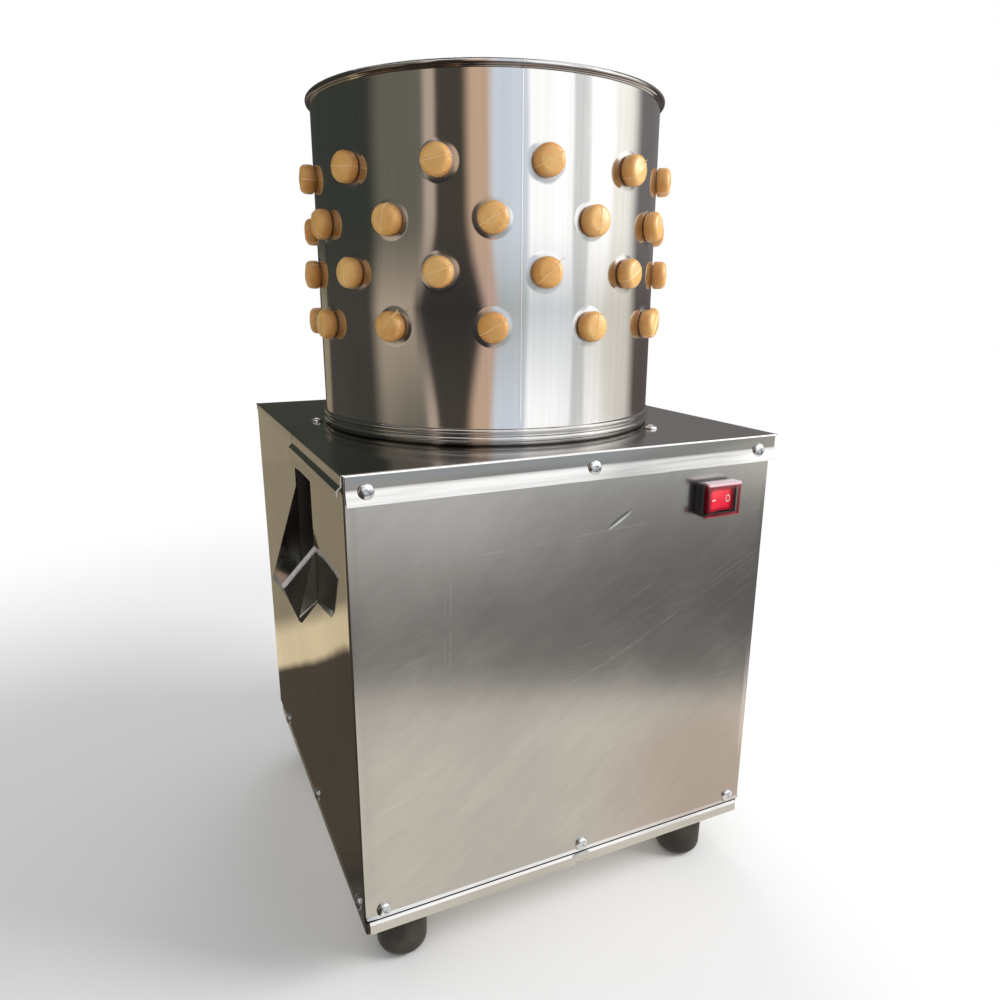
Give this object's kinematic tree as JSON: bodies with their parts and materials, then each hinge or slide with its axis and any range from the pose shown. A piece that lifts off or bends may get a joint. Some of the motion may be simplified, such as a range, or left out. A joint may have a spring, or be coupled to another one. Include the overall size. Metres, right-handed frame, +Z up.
{
  "type": "poultry plucker",
  "caption": "Drum poultry plucker: a rubber-fingered steel drum on a square cabinet, with a belt-driven fingered turntable, side feather chute and rocker switch.",
  "frame": {"origin": "on the floor, under the axis of the drum and turntable", "axes": "+Z up along the drum axis, -Y towards the switch at the front, -X towards the feather chute"},
  "size_m": [0.403, 0.408, 0.6875],
  "materials": {
    "satin_steel": "satin stainless sheet with fine scratches",
    "polished_steel": "polished stainless sheet",
    "inner_steel": "plain stainless sheet",
    "finger_rubber": "amber natural rubber, slightly clear",
    "foot_rubber": "black rubber",
    "screw_steel": "bright plated steel",
    "frame_paint": "grey primer paint",
    "cast_metal": "as cast",
    "turned_steel": "turned",
    "belt_rubber": "matt black rubber",
    "motor_paint": "blue grey paint",
    "winding_copper": "varnished copper",
    "black_plastic": "moulded black plastic",
    "capacitor_can": "drawn can",
    "rocker_red": "clear red plastic",
    "clear_boot": "clear soft plastic"
  },
  "bodies": {
    "cabinet": {"base_pan": "satin_steel", "body_wrap": "satin_steel", "rear_panel": "satin_steel", "top_cover": "polished_steel", "drum": "polished_steel", "chute_spout": "polished_steel", "feather_pan": "inner_steel", "drum_brackets": "inner_steel", "finger_row_1": "finger_rubber", "finger_row_2": "finger_rubber", "finger_row_3": "finger_rubber", "finger_row_4": "finger_rubber", "rubber_feet": "foot_rubber", "lid_screws": "screw_steel", "base_screws": "screw_steel", "bracket_screws": "screw_steel", "bracket_rivets": "screw_steel", "foot_bolts": "screw_steel", "housing_bolts": "screw_steel", "motor_bolts": "screw_steel", "frame_posts": "frame_paint", "top_rails": "frame_paint", "mid_rails": "frame_paint", "cross_beam": "frame_paint", "motor_plate": "frame_paint", "bearing_housing": "cast_metal", "bearing_outer_rings": "turned_steel", "drive_belt": "belt_rubber", "motor_frame": "motor_paint", "upper_end_bell": "motor_paint", "lower_end_bell": "motor_paint", "fan_cowl": "motor_paint", "motor_stator": "winding_copper", "terminal_box": "black_plastic", "switch_housing": "black_plastic", "cable_gland": "black_plastic", "gland_cap": "black_plastic", "gland_nut": "black_plastic", "switch_lead": "black_plastic", "run_capacitor": "capacitor_can", "switch_boot": "clear_boot"},
    "spindle": {"turntable_plate": "inner_steel", "turntable_fingers": "finger_rubber", "turntable_hub": "turned_steel", "hub_bolts": "screw_steel", "main_shaft": "turned_steel", "clamp_washer": "screw_steel", "shaft_nut": "screw_steel", "shaft_keys": "turned_steel", "bearing_inner_rings": "turned_steel", "driven_pulley": "cast_metal", "pulley_bolt": "screw_steel"},
    "ball_set": {"bearing_balls": "turned_steel"},
    "motor_spindle": {"motor_pulley": "cast_metal", "motor_shaft": "turned_steel", "motor_rotor": "cast_metal", "motor_fan": "black_plastic"},
    "rocker": {"switch_rocker": "rocker_red"}
  },
  "joints": [
    {"name": "turntable_spin", "type": "hinge", "parent": "cabinet", "child": "spindle", "pos_m": [0, 0, 0.34], "axis": [0, 0, 1], "continuous": true},
    {"name": "ball_orbit", "type": "hinge", "parent": "cabinet", "child": "ball_set", "pos_m": [0, 0, 0.34], "axis": [0, 0, 1], "continuous": true},
    {"name": "motor_spin", "type": "hinge", "parent": "cabinet", "child": "motor_spindle", "pos_m": [0.1, 0.1, 0.17], "axis": [0, 0, 1], "continuous": true},
    {"name": "rocker_press", "type": "hinge", "parent": "cabinet", "child": "rocker", "pos_m": [0.123, -0.1905, 0.3675], "axis": [0, 0, 1], "range_deg": [-12, 0]}
  ],
  "couplings": [
    {"joint": "motor_spin", "follows": "turntable_spin", "ratio": 4},
    {"joint": "ball_orbit", "follows": "turntable_spin", "ratio": 0.3969}
  ]
}
